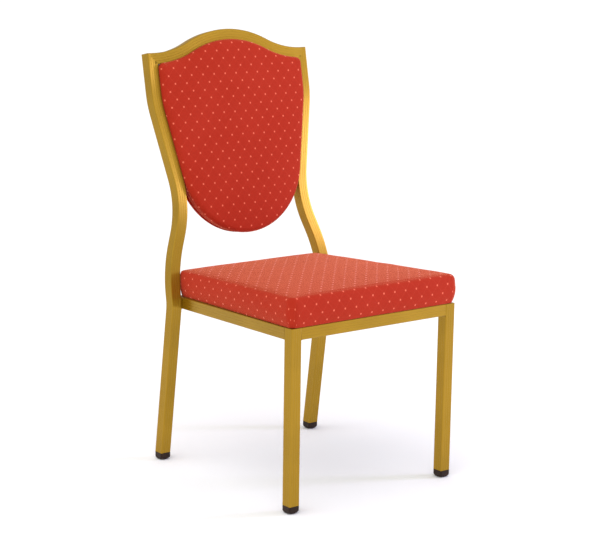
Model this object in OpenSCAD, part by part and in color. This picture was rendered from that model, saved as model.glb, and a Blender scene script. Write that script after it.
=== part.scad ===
// Banquet stacking chair: welded square-tube frame, upholstered box seat and shield-shaped back.
// Millimetres. +Z up, the front of the seat faces -Y, origin under the middle of the whole chair.

/* [Frame tube] */
// outside width of the square frame tube
tube = 25; // [23:0.5:27]
// wall thickness of the frame tube
tube_wall = 1.5; // [1.2:0.1:2]
// outside corner radius of the frame tube
tube_round = 2.5; // [2.2:0.1:3.5]

/* [Seat frame] */
// width over the two front legs
front_width = 444; // [430:1:470]
// width over the two rear legs at seat height
rear_width = 450; // [440:1:470]
// height of the top of the front rail
rail_height = 388; // [370:1:410]
// front of the front legs to the front of the rear rail
seat_frame_depth = 417.5; // [400:0.5:430]
// slope of the seat frame down to the rear, degrees
seat_tilt = 1.35; // [0.5:0.05:2]
// how far the front rail stands back from the front of the legs
front_rail_recess = 1; // [0.8:0.1:2]
// how far the rear rail stands in front of the middle of the bend from leg to back
rear_rail_recess = 0.6; // [0.4:0.1:1]
// radius of the ground weld beads under the rails
weld_radius = 5; // [3:0.5:6]
// thickness of the corner plates the seat is bolted to
corner_plate_thick = 2.5; // [2:0.5:3]
// leg length of the triangular corner plates
corner_plate_size = 62; // [55:1:75]

/* [Rear legs and uprights] */
// slope of the rear legs backwards, degrees
leg_splay_back = 7.6; // [6:0.1:9]
// slope of the back to the rear, degrees
recline = 11; // [9:0.5:13]
// height where the bend from leg to back ends
recline_bend_top = 377.5; // [370:0.5:380]
// centreline radius of the bend from leg to back
recline_bend_radius = 90; // [75:1:110]
// centreline radius of the inward bend above the seat
inward_radius = 323; // [280:1:360]
// angle of the inward bend above the seat, degrees
inward_angle = 20.8; // [19:0.1:22]
// straight length between the inward and the waist bend
waist_straight = 21.8; // [15:0.1:30]
// centreline radius of the waist bend
waist_radius = 225; // [200:1:250]
// slope of the uprights outwards above the waist, degrees
flank_angle = 11.2; // [9:0.1:12]
// straight length of the sloping flank above the waist
flank_straight = 146.4; // [130:0.2:160]
// centreline radius of the shoulder bend
shoulder_radius = 231; // [200:1:260]
// straight length from the shoulder bend to the top of the upright
shoulder_straight = 85; // [75:1:95]

/* [Top rail] */
// straight length of the top edge beside each corner
top_flat = 16.4; // [12:0.2:25]
// radius of the hollow curve of the top edge
top_hollow_radius = 214; // [190:0.5:240]
// straight length between the hollow curve and the arch
top_straight = 4; // [2:0.5:10]
// slope where the hollow curve meets the arch, degrees
top_angle = 25.8; // [22:0.1:28]

/* [Seat upholstery] */
// how far the seat cushion stands out beyond the front legs
seat_bulge = 4; // [2:0.5:6]
// thickness of the seat board
seat_board_thick = 12; // [10:0.5:15]
// height of the cushion at its edges above the seat frame
seat_edge_height = 61; // [52:1:66]
// height of the cushion in the middle above the seat frame
seat_crown_height = 67; // [62:1:74]
// radius of the cushion's top edge
seat_edge_radius = 18; // [12:1:22]
// corner radius of the cushion seen from above
seat_corner_radius = 14; // [10:1:20]
// half width of the cushion at the rear
seat_rear_half = 192; // [186:0.5:192]
// how far the cushion runs back over the rear rail
seat_over_rear_rail = 19; // [14:0.5:20]
// thickness of the upholstery fabric
fabric = 1; // [0.8:0.1:1.2]
// width of the fabric turned under the boards
fabric_turn = 28; // [20:1:32]

/* [Back upholstery] */
// radius of the rounded bottom of the back pad
pad_bottom_radius = 163; // [155:0.5:163]
// bottom of the back pad above the top of the recline bend
pad_bottom = 124.4; // [120:0.2:130]
// clearance between the back pad and the frame
pad_gap = 0.6; // [0.5:0.1:1]
// how far the back pad stands out in front of the frame at its edges
pad_proud = 13; // [10:0.5:16]
// extra swell in the middle of the back pad
pad_crown = 4; // [2:0.5:6]
// radius of the back pad's front edge
pad_edge_radius = 9; // [6:0.5:10]
// radius of the pad's two upper corners
pad_corner_radius = 12; // [11:0.5:14]
// thickness of the back board
back_board_thick = 9; // [8:0.5:10]
// thickness of the rear panel board
rear_panel_thick = 4; // [3:0.5:4]

/* [Glides] */
// height of the glide head under the tube
glide_height = 16; // [11:0.5:16]
// width of the glide head
glide_width = 26; // [25.5:0.5:28]
// width of the flat foot of the glide
glide_foot = 12; // [10:1:18]
// length of the glide plug inside the tube
glide_plug = 22; // [15:1:30]

/* [Fasteners] */
// seat bolt diameter
bolt_d = 6; // [5:1:6]
// back screw diameter
screw_d = 4; // [3.5:0.5:4.5]

/* [Hidden] */
$fn = 48;
ARC_STEP = 5;
TUBE_STEP = 2.5;
PAST = 5;
CORNER_STEPS = 6;
CROWN_STEPS = [[0.93, 0.35], [0.8, 0.65], [0.6, 0.88], [0.3, 0.98]];
SIDE_SWELL = [[0, 0], [0.3, 0.6], [0.7, 1], [1, 0.8]];
FAR = 700;
HALF = tube / 2;
INNER = tube - 2 * tube_wall;

// uprights, measured in the plane of the back from the top of the recline bend
upright_x = rear_width / 2 - HALF;
waist_angle = inward_angle + flank_angle;
inward_rise = inward_radius * sin(inward_angle) + waist_straight * cos(inward_angle);
inward_shift = inward_radius * (1 - cos(inward_angle)) + waist_straight * sin(inward_angle);
waist_s = inward_rise + waist_radius * sin(inward_angle);
waist_x = upright_x - inward_shift - waist_radius * (1 - cos(inward_angle));
flank_s = waist_s + waist_radius * sin(flank_angle);
flank_x = waist_x + waist_radius * (1 - cos(flank_angle));
shoulder_s = flank_s + flank_straight * cos(flank_angle);
shoulder_x = flank_x + flank_straight * sin(flank_angle);
top_x = shoulder_x + shoulder_radius * (1 - cos(flank_angle));
top_s = shoulder_s + shoulder_radius * sin(flank_angle) + shoulder_straight;

// top rail
top_half = top_x + HALF;
hollow_x = top_half - top_flat;
hollow_s = top_s + top_hollow_radius;
arch_x = hollow_x - top_hollow_radius * sin(top_angle) - top_straight * cos(top_angle);
arch_radius = arch_x / sin(top_angle);
arch_s = top_s + (top_hollow_radius + arch_radius) * (1 - cos(top_angle)) + top_straight * sin(top_angle);

// depth of the whole chair, from the cushion front to the rear of the arch
upright_depth = seat_frame_depth + HALF + rear_rail_recess;
back_reach = upright_depth + arch_s * sin(recline) + HALF * cos(recline);
front_y = -(back_reach + seat_bulge) / 2 + seat_bulge;
upright_y = front_y + upright_depth;

// rear leg below the bend
bend_angle = recline + leg_splay_back;
leg_length = recline_bend_top / cos(leg_splay_back) + tube;
bend_drop = recline_bend_radius * (sin(recline) + sin(leg_splay_back));
bend_shift = recline_bend_radius * (cos(leg_splay_back) - cos(recline));
leg_drop = recline_bend_top - bend_drop - glide_height;
rear_foot_y = upright_y - bend_shift + leg_drop * tan(leg_splay_back);

// seat frame, in its own plane
front_half = front_width / 2;
rear_inner = rear_width / 2 - tube;
side_front_y = tube - 2;
side_taper = atan((front_half - rear_inner) / (seat_frame_depth - tube));
side_length = (seat_frame_depth - side_front_y) / cos(side_taper);

// seat board and cushion, heights above the seat frame
dust_thick = 0.5;
board_z = dust_thick + fabric;
board_top = board_z + seat_board_thick;
cushion_rear = seat_frame_depth + seat_over_rear_rail;
seat_side_slope = atan((front_half - seat_rear_half) / cushion_rear);
seat_side_k = front_half * cos(seat_side_slope);
seat_shoulder = seat_edge_height - seat_edge_radius;
SEAT_CENTRE = [0, cushion_rear / 2];
PAD_CENTRE = [0, (pad_bottom + top_s) / 2];
plate_top = -3;
plate_hole = corner_plate_size * 0.36;
function side_inner(y) = front_half - tube / cos(side_taper) - (y - tube) * tan(side_taper);
front_corner_y = front_rail_recess + tube;
front_bolt_y = front_corner_y + plate_hole;
rear_bolt_y = seat_frame_depth - plate_hole;
bolt_spots = [
    [side_inner(front_bolt_y) - plate_hole, front_bolt_y],
    [side_inner(rear_bolt_y) - plate_hole, rear_bolt_y]
];
bolt_head_d = 11;
bolt_head_h = 4;
washer_d = 16;
washer_h = 1.5;
tnut_flange_d = 19;
tnut_flange_h = 1.2;
tnut_barrel_d = 8;
tnut_barrel_h = 9;
tnut_wall_hole = tnut_barrel_d + 0.2;
bolt_hole_d = bolt_d + 0.8;

// upper corner of the back pad, touching the upright and the hollow of the top rail
pad_corner_x = top_x - HALF - pad_corner_radius;
pad_corner_reach = top_hollow_radius + tube + pad_corner_radius;
pad_corner_angle = asin((hollow_x - pad_corner_x) / pad_corner_reach);
pad_corner_s = hollow_s - pad_corner_reach * cos(pad_corner_angle);

// back pad layers, measured rearward from the middle of the tube
pad_front = -HALF - pad_proud;
board_front = -8.5;
board_rear = board_front + back_board_thick;
tab_thick = 2.5;
tab_front = board_rear + fabric;
tab_length = 24;
tab_width = 20;
tab_hole = 11;
screw_head_h = 2.6;
screw_head_d = 8;
screw_length = 9;
panel_rear = HALF - fabric - 0.5;
panel_front = panel_rear - rear_panel_thick;
flank_tab = 20;
top_tab = 70;

clip_d = 8;
clip_stem_d = 5;
clip_stem = 6;
clip_spots = [[0, 175], [105, 250], [0, 330], [140, 395], [0, 480]];

staple_count = 12;
staple_wire = 1;
staple_crown = 10;
staple_leg = 7;
staple_inset = 33;
staple_spread = 290;
plug_clearance = 0.2;
glide_collar = 3;

GOLD = [0.72, 0.56, 0.22];
STEEL = [0.7, 0.71, 0.73];
PLYWOOD = [0.78, 0.62, 0.42];
FOAM = [0.93, 0.88, 0.66];
RED_CLOTH = [0.78, 0.2, 0.14];
BLACK_CLOTH = [0.1, 0.1, 0.1];
BROWN_PLASTIC = [0.2, 0.12, 0.08];

// ---- shared shapes ----

module rounded_square(width, radius) {
    flat = width - 2 * radius;
    square([flat, width], center = true);
    square([width, flat], center = true);
    for (x = [-1, 1], y = [-1, 1])
        translate([x, y] * flat / 2)
            circle(r = radius);
}

module tube_profile() {
    difference() {
        rounded_square(tube, tube_round);
        rounded_square(INNER, tube_round - tube_wall);
    }
}

// a closed outline between two edges that run the same way
function between(edge, other) = concat(edge, [for (i = [len(other) - 1:-1:0]) other[i]]);

// a square tube that bends in the drawing plane, from its outside and inside outlines
module bent_tube(outside, inside) {
    difference() {
        linear_extrude(tube, center = true)
            polygon(outside);
        linear_extrude(INNER, center = true)
            polygon(inside);
    }
}

// the plane of the back: X across, Z up the back, Y rearward, zero at the middle of the tube
module in_back_plane() {
    translate([0, upright_y, recline_bend_top])
        rotate([-recline, 0, 0])
            children();
}

// the plane of the seat frame: Y rearward from the front of the legs, Z above the rails
module in_seat_plane() {
    translate([0, front_y, rail_height])
        rotate([-seat_tilt, 0, 0])
            children();
}

module both_sides() {
    children();
    mirror([1, 0, 0])
        children();
}

function arc(cx, cy, r, from, to, step = ARC_STEP) =
    let (n = max(2, ceil(abs(to - from) / step)))
    [for (i = [0:n]) let (a = from + (to - from) * i / n) [cx + r * cos(a), cy + r * sin(a)]];

// the left half of an outline, leaving out the points on the centreline when skip is 1
function mirrored(points, skip = 0) =
    [for (i = [len(points) - 1 - skip:-1:skip]) [-points[i][0], points[i][1]]];

// right half of the shield, from the bottom up to the middle of the arch, taken in by inset
function shield_half(inset) = concat(
    arc(0, pad_bottom + pad_bottom_radius, pad_bottom_radius - inset, -90, -flank_angle),
    arc(top_x - shoulder_radius, top_s - shoulder_straight, shoulder_radius - HALF - inset, -flank_angle, 0),
    arc(pad_corner_x, pad_corner_s, pad_corner_radius - inset, 0, 90 - pad_corner_angle),
    arc(hollow_x, hollow_s, top_hollow_radius + tube + inset, -90 - pad_corner_angle, -90 - top_angle),
    arc(0, arch_s - arch_radius, arch_radius - tube - inset, 90 - top_angle, 90)
);

function shield(inset) = concat(shield_half(inset), mirrored(shield_half(inset), 1));

// seat outline in its own plane, front right corner first, taken in by inset
function seat_outline(inset, corner) =
    let (
        in_all = inset + corner,
        right_x = function (y) (seat_side_k - in_all - sin(seat_side_slope) * y) / cos(seat_side_slope),
        front = in_all,
        rear = cushion_rear - in_all,
        right = concat(
            corner_arc(right_x(front), front, corner, -90, seat_side_slope),
            corner_arc(right_x(rear), rear, corner, seat_side_slope, 90)
        )
    )
    concat(right, mirrored(right));

function corner_arc(cx, cy, r, from, to) =
    [for (i = [0:CORNER_STEPS])
        let (a = from + (to - from) * i / CORNER_STEPS)
        [cx + r * cos(a), cy + r * sin(a)]];

function scaled(points, centre, factor) = [for (p = points) centre + (p - centre) * factor];

// each step of a side profile is [taken in, height]; the crown steps are [scale, height]
function seat_rings(sides, crown) = concat(
    [for (s = sides) [for (p = seat_outline(s[0], max(2, seat_corner_radius - s[0]))) [p[0], p[1], s[1]]]],
    [for (c = crown) [for (p = scaled(seat_outline(last(sides)[0], seat_corner_radius), SEAT_CENTRE, c[0]))
        [p[0], p[1], c[1]]]]
);

function last(list) = list[len(list) - 1];

// side profile of the cushion from a bottom height up, taken in by inset
function seat_sides(inset, bottom) =
    let (
        heights = [for (k = SIDE_SWELL) k[0] * seat_shoulder],
        levels = concat([bottom], [for (z = heights) if (z > bottom) z]),
        edge = seat_edge_radius - inset,
        start = inset - seat_bulge * last(SIDE_SWELL)[1]
    )
    concat(
        [for (z = levels) [inset - seat_bulge * lookup(z / seat_shoulder, SIDE_SWELL), z]],
        [for (a = [18:18:90]) [start + edge * (1 - cos(a)), seat_shoulder + edge * sin(a)]]
    );

function seat_crown(inset) =
    let (rise = seat_crown_height - seat_edge_height)
    [for (k = CROWN_STEPS) [k[0], seat_edge_height - inset + rise * k[1]]];

// rings of the back pad in the plane of the back; depth is measured rearward
function pad_rings(inset, rear) =
    let (edge = pad_edge_radius - inset, base = pad_front + pad_edge_radius)
    concat(
        [for (y = [rear, base]) standing(shield(pad_gap + inset), y)],
        [for (a = [18:18:90]) standing(shield(pad_gap + inset + edge * (1 - cos(a))), base - edge * sin(a))],
        [for (k = CROWN_STEPS) standing(
            scaled(shield(pad_gap + pad_edge_radius), PAD_CENTRE, k[0]),
            pad_front + inset - pad_crown * k[1]
        )]
    );

function standing(points, y) = [for (p = points) [p[0], y, p[1]]];

function flat(rings) = [for (r = rings) each r];

function fan(n, tip, first, up) =
    [for (i = [0:n - 1]) up ? [tip, first + (i + 1) % n, first + i] : [tip, first + i, first + (i + 1) % n]];

function band(n, low, high) =
    [for (i = [0:n - 1]) each [
        [low + i, high + i, high + (i + 1) % n],
        [low + i, high + (i + 1) % n, low + (i + 1) % n]
    ]];

// a solid through a stack of rings, closed by a centre point at each end
module loft(rings, first, last) {
    n = len(rings[0]);
    top = len(rings) - 1;
    tip = n * len(rings);
    polyhedron(
        points = concat(flat(rings), [first, last]),
        faces = concat(
            fan(n, tip, 0, false),
            flat([for (r = [0:top - 1]) band(n, r * n, (r + 1) * n)]),
            fan(n, tip + 1, top * n, true)
        )
    );
}

// a fabric skin between an outer and an inner stack of rings that share an open rim
module skin(outer, outer_tip, inner, inner_tip) {
    n = len(outer[0]);
    out_top = len(outer) - 1;
    first_in = n * len(outer);
    in_top = len(inner) - 1;
    tip = n * (len(outer) + len(inner));
    polyhedron(
        points = concat(flat(outer), flat(inner), [outer_tip, inner_tip]),
        faces = concat(
            band(n, first_in, 0),
            flat([for (r = [0:out_top - 1]) band(n, r * n, (r + 1) * n)]),
            fan(n, tip, out_top * n, true),
            flat([for (r = [0:in_top - 1]) band(n, first_in + (r + 1) * n, first_in + r * n)]),
            fan(n, tip + 1, first_in + in_top * n, false)
        )
    );
}

// ---- frame ----

module front_leg() {
    color(GOLD)
        difference() {
            translate([front_half - HALF, front_y + HALF, glide_height])
                linear_extrude(rail_height - glide_height)
                    tube_profile();
            in_seat_plane()
                translate([0, -FAR / 2, 0])
                    cube(FAR);
        }
}

module front_leg_left() {
    mirror([1, 0, 0])
        front_leg();
}

module front_leg_right() {
    front_leg();
}

// one edge of the upright in the plane of the back, at a distance outwards from its centreline
function upright_edge(out, past) = concat(
    [[upright_x + out, -past]],
    arc(upright_x - inward_radius, 0, inward_radius + out, 0, inward_angle, TUBE_STEP),
    arc(waist_x + waist_radius, waist_s, waist_radius - out, 180 + inward_angle, 180 - flank_angle, TUBE_STEP),
    arc(top_x - shoulder_radius, top_s - shoulder_straight, shoulder_radius + out, -flank_angle, 0, TUBE_STEP),
    [[top_x + out, top_s - HALF + out + past]]
);

// one edge of the rear leg seen from the side, at a distance rearward from its centreline
function leg_edge(out, past) =
    let (
        r = recline_bend_radius - out,
        curve = arc(recline_bend_radius, 0, r, 180, 180 + bend_angle, TUBE_STEP),
        foot = last(curve) + (leg_length + past) * [sin(bend_angle), -cos(bend_angle)]
    )
    concat([[out, past]], curve, [foot]);

module rear_upright() {
    color(GOLD)
        difference() {
            in_back_plane() {
                rotate([90, 0, 0])
                    bent_tube(
                        between(upright_edge(HALF, 0), upright_edge(-HALF, 0)),
                        between(upright_edge(INNER / 2, PAST), upright_edge(-INNER / 2, PAST))
                    );
                translate([upright_x, 0, 0])
                    rotate([90, 0, 90])
                        bent_tube(
                            between(leg_edge(HALF, 0), leg_edge(-HALF, 0)),
                            between(leg_edge(INNER / 2, PAST), leg_edge(-INNER / 2, PAST))
                        );
            }
            translate([-FAR, -FAR, glide_height - FAR])
                cube([2 * FAR, 2 * FAR, FAR]);
        }
}

module rear_upright_left() {
    mirror([1, 0, 0])
        rear_upright();
}

module rear_upright_right() {
    rear_upright();
}

// right half of one edge of the top rail, from the mitre to the middle, at a distance above its centreline
function rail_edge(out, past) = concat(
    [[top_half - HALF + out + past, top_s - HALF + out]],
    arc(hollow_x, hollow_s, top_hollow_radius + HALF - out, -90, -90 - top_angle, TUBE_STEP),
    arc(0, arch_s - arch_radius, arch_radius - HALF + out, 90 - top_angle, 90, TUBE_STEP)
);

function whole_edge(half) = concat(half, mirrored(half, 1), [[-half[0][0], half[0][1]]]);

module top_rail() {
    color(GOLD)
        in_back_plane()
            rotate([90, 0, 0])
                bent_tube(
                    between(whole_edge(rail_edge(HALF, 0)), whole_edge(rail_edge(-HALF, 0))),
                    between(whole_edge(rail_edge(INNER / 2, PAST)), whole_edge(rail_edge(-INNER / 2, PAST)))
                );
}

module front_rail() {
    length = front_width - 2 * tube;
    color(GOLD)
        in_seat_plane()
            translate([-length / 2, HALF + front_rail_recess, -HALF])
                rotate([0, 90, 0])
                    linear_extrude(length)
                        tube_profile();
}

module side_rail() {
    color(GOLD)
        difference() {
            in_seat_plane()
                difference() {
                    translate([front_half, tube, -HALF])
                        rotate([-90, 0, side_taper])
                            translate([-HALF, 0, -4])
                                linear_extrude(side_length + 8)
                                    tube_profile();
                    translate([-FAR / 2, seat_frame_depth, -FAR / 2])
                        cube(FAR);
                }
            translate([-FAR / 2, front_y + tube - FAR, 0])
                cube(FAR);
        }
}

module side_rail_left() {
    mirror([1, 0, 0])
        side_rail();
}

module side_rail_right() {
    side_rail();
}

module rear_rail() {
    color(GOLD)
        in_seat_plane()
            translate([-rear_inner, seat_frame_depth + HALF, -HALF])
                rotate([0, 90, 0])
                    linear_extrude(2 * rear_inner)
                        tube_profile();
}

// a concave bead in the corner of two flat faces: it fills towards +X and -Z and runs along Y
module bead() {
    rotate([90, 0, 0])
        linear_extrude(tube - 2 * tube_round, center = true)
            difference() {
                translate([0, -weld_radius])
                    square(weld_radius);
                translate([weld_radius, -weld_radius])
                    circle(r = weld_radius);
            }
}

module weld_beads() {
    leg_rear = tube * (1 + sin(seat_tilt));
    color(GOLD)
        both_sides() {
            in_seat_plane()
                translate([front_half - tube, HALF + front_rail_recess, -tube])
                    mirror([1, 0, 0])
                        bead();
            difference() {
                in_seat_plane()
                    translate([front_half - HALF, leg_rear, -tube])
                        rotate([0, 0, 90])
                            bead();
                translate([-FAR / 2, front_y + tube - FAR, 0])
                    cube(FAR);
            }
            in_seat_plane()
                translate([rear_inner, seat_frame_depth + HALF, -tube])
                    mirror([1, 0, 0])
                        bead();
        }
}

module corner_plate(corner_y, toward, spot) {
    far_y = corner_y + toward * corner_plate_size;
    translate([0, 0, plate_top - corner_plate_thick])
        linear_extrude(corner_plate_thick)
            difference() {
                polygon([
                    [side_inner(corner_y), corner_y],
                    [side_inner(far_y), far_y],
                    [side_inner(corner_y) - corner_plate_size, corner_y]
                ]);
                translate(spot)
                    circle(d = bolt_hole_d);
            }
}

module corner_plates() {
    color(GOLD)
        in_seat_plane()
            both_sides() {
                corner_plate(front_corner_y, 1, bolt_spots[0]);
                corner_plate(seat_frame_depth, -1, bolt_spots[1]);
            }
}

// puts a piece at each back tab: +Z along the upright, the tab reaching towards -X
module at_tabs() {
    both_sides() {
        translate([flank_x, 0, flank_s])
            rotate([0, flank_angle, 0])
                translate([-HALF, 0, flank_tab])
                    children();
        translate([top_x - HALF, 0, top_s - top_tab])
            children();
    }
}

module back_tabs() {
    color(GOLD)
        in_back_plane()
            at_tabs()
                difference() {
                    translate([-tab_width, tab_front, -tab_length / 2])
                        cube([tab_width, tab_thick, tab_length]);
                    translate([-tab_hole, 0, 0])
                        rotate([-90, 0, 0])
                            cylinder(d = screw_d + 0.5, h = HALF);
                }
}

// ---- seat ----

module at_bolts() {
    in_seat_plane()
        both_sides()
            for (spot = bolt_spots)
                translate(spot)
                    children();
}

module seat_plate(inset, from, to) {
    translate([0, 0, from])
        linear_extrude(to - from)
            polygon(seat_outline(inset, max(2, seat_corner_radius - inset)));
}

module seat_board() {
    color(PLYWOOD)
        difference() {
            in_seat_plane()
                difference() {
                    seat_plate(fabric + 0.3, board_z, board_top);
                    at_staples()
                        staple_legs(staple_wire + 0.1);
                }
            at_bolts() {
                cylinder(d = tnut_wall_hole, h = FAR, center = true);
                translate([0, 0, board_top - tnut_flange_h])
                    cylinder(d = tnut_flange_d + 0.4, h = tube);
            }
        }
}

module seat_foam() {
    gap = fabric + 0.2;
    crown = seat_crown(gap);
    color(FOAM)
        in_seat_plane()
            loft(
                seat_rings(seat_sides(gap, board_top + 0.1), crown),
                [SEAT_CENTRE[0], SEAT_CENTRE[1], board_top + 0.1],
                [SEAT_CENTRE[0], SEAT_CENTRE[1], last(crown)[1] + 0.1]
            );
}

module seat_cover() {
    outer_crown = seat_crown(0);
    inner_crown = seat_crown(fabric);
    color(RED_CLOTH)
        difference() {
            in_seat_plane()
                skin(
                    seat_rings(concat([[fabric_turn, dust_thick]], seat_sides(0, dust_thick)), outer_crown),
                    [SEAT_CENTRE[0], SEAT_CENTRE[1], last(outer_crown)[1] + 0.1],
                    seat_rings(concat([[fabric_turn, board_z]], seat_sides(fabric, board_z)), inner_crown),
                    [SEAT_CENTRE[0], SEAT_CENTRE[1], last(inner_crown)[1] + 0.1]
                );
            at_bolts()
                cylinder(d = bolt_hole_d, h = tube, center = true);
        }
}

module seat_dust_cover() {
    color(BLACK_CLOTH)
        difference() {
            in_seat_plane()
                difference() {
                    seat_plate(8, 0.05, dust_thick - 0.05);
                    at_staples()
                        staple_legs(staple_wire + 0.1);
                }
            at_bolts()
                cylinder(d = bolt_hole_d, h = tube, center = true);
        }
}

// puts a piece at each staple along the front and rear edges of the dust cover
module at_staples() {
    for (i = [1:staple_count], y = [staple_inset, cushion_rear - staple_inset])
        translate([(i / (staple_count + 1) - 0.5) * staple_spread, y, 0])
            children();
}

// the two legs of a staple, of the given wire width
module staple_legs(wire) {
    for (side = [-1, 1])
        translate([side * (staple_crown - staple_wire) / 2 - wire / 2, -wire / 2, -staple_wire])
            cube([wire, wire, staple_wire + staple_leg]);
}

module seat_staples() {
    color(STEEL)
        in_seat_plane()
            at_staples() {
                translate([-staple_crown / 2, -staple_wire / 2, -staple_wire])
                    cube([staple_crown, staple_wire, staple_wire]);
                staple_legs(staple_wire);
            }
}

module seat_tee_nuts() {
    color(STEEL)
        at_bolts()
            difference() {
                union() {
                    translate([0, 0, board_top - tnut_flange_h])
                        cylinder(d = tnut_flange_d, h = tnut_flange_h);
                    translate([0, 0, board_top - tnut_barrel_h])
                        cylinder(d = tnut_barrel_d, h = tnut_barrel_h);
                }
                cylinder(d = bolt_d + 0.1, h = FAR, center = true);
            }
}

module seat_bolts() {
    bottom = plate_top - corner_plate_thick - washer_h;
    color(STEEL)
        at_bolts() {
            translate([0, 0, bottom])
                cylinder(d = bolt_d, h = board_top - tnut_flange_h - bottom);
            translate([0, 0, bottom - bolt_head_h])
                difference() {
                    cylinder(d = bolt_head_d, h = bolt_head_h);
                    translate([0, 0, -1])
                        cylinder(r = bolt_d / 3, h = bolt_head_h - 1, $fn = 6);
                }
        }
}

module seat_washers() {
    color(STEEL)
        at_bolts()
            translate([0, 0, plate_top - corner_plate_thick - washer_h])
                difference() {
                    cylinder(d = washer_d, h = washer_h);
                    translate([0, 0, -1])
                        cylinder(d = bolt_d + 0.4, h = washer_h + 2);
                }
}

// ---- back ----

// a shield-shaped plate standing in the plane of the back between two depths
module shield_plate(inset, from, to) {
    translate([0, to, 0])
        rotate([90, 0, 0])
            linear_extrude(to - from)
                polygon(shield(inset));
}

module screw_holes(d) {
    at_tabs()
        translate([-tab_hole, 0, 0])
            rotate([90, 0, 0])
                cylinder(d = d, h = tube, center = true);
}

module at_clips() {
    for (spot = clip_spots) {
        translate([spot[0], 0, spot[1]])
            children();
        if (spot[0] > 0)
            translate([-spot[0], 0, spot[1]])
                children();
    }
}

module back_board() {
    color(PLYWOOD)
        in_back_plane()
            difference() {
                shield_plate(pad_gap + fabric + 0.3, board_front, board_rear);
                screw_holes(screw_d);
                at_clips()
                    rotate([90, 0, 0])
                        cylinder(d = clip_stem_d, h = tube, center = true);
            }
}

module back_foam() {
    gap = fabric + 0.2;
    rings = pad_rings(gap, board_front - 0.1);
    color(FOAM)
        in_back_plane()
            loft(
                rings,
                [PAD_CENTRE[0], board_front - 0.1, PAD_CENTRE[1]],
                [PAD_CENTRE[0], last(rings)[0][1] - 0.1, PAD_CENTRE[1]]
            );
}

module back_cover() {
    outer = pad_rings(0, board_rear);
    inner = pad_rings(fabric, board_rear);
    color(RED_CLOTH)
        in_back_plane()
            skin(
                outer,
                [PAD_CENTRE[0], last(outer)[0][1] - 0.1, PAD_CENTRE[1]],
                inner,
                [PAD_CENTRE[0], last(inner)[0][1] - 0.1, PAD_CENTRE[1]]
            );
}

module rear_panel() {
    color(PLYWOOD)
        in_back_plane()
            shield_plate(pad_gap + fabric + 0.3, panel_front, panel_rear);
}

module rear_panel_cover() {
    outer_y = -panel_rear - fabric;
    inner_y = -panel_rear - 0.1;
    color(RED_CLOTH)
        in_back_plane()
            mirror([0, 1, 0])
                skin(
                    [for (y = [-panel_front, outer_y]) standing(shield(pad_gap), y)],
                    [PAD_CENTRE[0], outer_y, PAD_CENTRE[1]],
                    [for (y = [-panel_front, inner_y]) standing(shield(pad_gap + fabric), y)],
                    [PAD_CENTRE[0], inner_y, PAD_CENTRE[1]]
                );
}

module back_screws() {
    color(STEEL)
        in_back_plane()
            at_tabs()
                translate([-tab_hole, tab_front + tab_thick, 0]) {
                    rotate([90, 0, 0])
                        cylinder(d = screw_d, h = screw_length);
                    rotate([-90, 0, 0])
                        difference() {
                            cylinder(d = screw_head_d, h = screw_head_h);
                            translate([0, 0, 1])
                                cylinder(d = 3, h = screw_head_h, $fn = 4);
                        }
                }
}

module panel_clips() {
    color(STEEL)
        in_back_plane()
            at_clips()
                translate([0, board_rear, 0]) {
                    rotate([90, 0, 0])
                        cylinder(d = clip_stem_d, h = clip_stem);
                    rotate([-90, 0, 0])
                        cylinder(d = clip_d, h = panel_front - board_rear);
                }
}

// ---- glides ----

// the foot rests on the floor; the plug follows the tube it sits in
module glide(lean_back) {
    plug = INNER - 2 * plug_clearance;
    base = glide_height - glide_collar;
    color(BROWN_PLASTIC) {
        intersection() {
            rotate_extrude()
                polygon(concat(
                    [[0, 0], [glide_foot / 2, 0]],
                    corner_arc(glide_foot / 2, base, base, -80, 0),
                    [[glide_width, base], [glide_width, glide_height], [0, glide_height]]
                ));
            linear_extrude(glide_height)
                rounded_square(glide_width, tube_round + 1);
        }
        difference() {
            translate([0, 0, glide_height])
                rotate([lean_back, 0, 0])
                    translate([0, 0, -glide_collar])
                        linear_extrude(glide_plug)
                            rounded_square(plug, 1);
            translate([-tube, -tube, -tube + 1])
                cube([2 * tube, 2 * tube, tube]);
        }
    }
}

module front_glide() {
    translate([front_half - HALF, front_y + HALF, 0])
        glide(0);
}

module rear_glide() {
    translate([upright_x, rear_foot_y, 0])
        glide(leg_splay_back);
}

module glide_front_left() {
    mirror([1, 0, 0])
        front_glide();
}

module glide_front_right() {
    front_glide();
}

module glide_rear_left() {
    mirror([1, 0, 0])
        rear_glide();
}

module glide_rear_right() {
    rear_glide();
}

front_leg_left();
front_leg_right();
rear_upright_left();
rear_upright_right();
top_rail();
front_rail();
side_rail_left();
side_rail_right();
rear_rail();
weld_beads();
corner_plates();
back_tabs();
seat_board();
seat_foam();
seat_cover();
seat_dust_cover();
seat_staples();
seat_tee_nuts();
seat_bolts();
seat_washers();
back_board();
back_foam();
back_cover();
rear_panel();
rear_panel_cover();
back_screws();
panel_clips();
glide_front_left();
glide_front_right();
glide_rear_left();
glide_rear_right();
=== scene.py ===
import math

import bpy
import numpy as np
from mathutils import Matrix, Vector


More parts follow.
